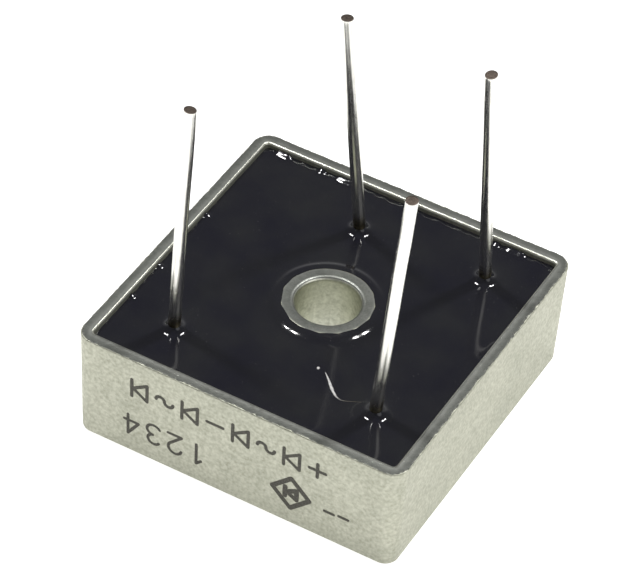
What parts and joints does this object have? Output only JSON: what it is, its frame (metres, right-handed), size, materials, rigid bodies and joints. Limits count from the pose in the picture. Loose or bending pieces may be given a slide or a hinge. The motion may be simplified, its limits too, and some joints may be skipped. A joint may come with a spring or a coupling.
{
  "type": "bridge rectifier",
  "caption": "Square aluminium-case bridge rectifier, potted in black epoxy round a central screw boss, with upright round wire leads.",
  "frame": {"origin": "centre of the case's flat base", "axes": "+Z out of the potted side, along the screw hole and the leads; -Y is the marked side; the negative lead is at +X, -Y"},
  "size_m": [0.0286, 0.0286, 0.0314],
  "materials": {
    "case_aluminium": "matte cast, darker worn rim",
    "potting_epoxy": "glossy cast epoxy with creep at the edges",
    "lead_tin": "bright drawn wire, tinned",
    "copper": "plain rolled copper",
    "solder": "satin solder",
    "silicon": "polished die",
    "insulator_ceramic": "fired white ceramic"
  },
  "bodies": {
    "root": {"case": "case_aluminium", "potting": "potting_epoxy", "insulator": "insulator_ceramic", "plate_positive": "copper", "plate_negative": "copper", "plate_ac_1": "copper", "plate_ac_2": "copper", "diode_1": "silicon", "diode_2": "silicon", "diode_3": "silicon", "diode_4": "silicon", "die_solder_1": "solder", "die_solder_2": "solder", "die_solder_3": "solder", "die_solder_4": "solder", "clip_1": "copper", "clip_2": "copper", "clip_3": "copper", "clip_4": "copper", "clip_solder_top_1": "solder", "clip_solder_top_2": "solder", "clip_solder_top_3": "solder", "clip_solder_top_4": "solder", "clip_solder_foot_1": "solder", "clip_solder_foot_2": "solder", "clip_solder_foot_3": "solder", "clip_solder_foot_4": "solder", "lead_positive": "lead_tin", "lead_negative": "lead_tin", "lead_ac_1": "lead_tin", "lead_ac_2": "lead_tin", "lead_solder_positive": "solder", "lead_solder_negative": "solder", "lead_solder_ac_1": "solder", "lead_solder_ac_2": "solder"}
  },
  "joints": []
}
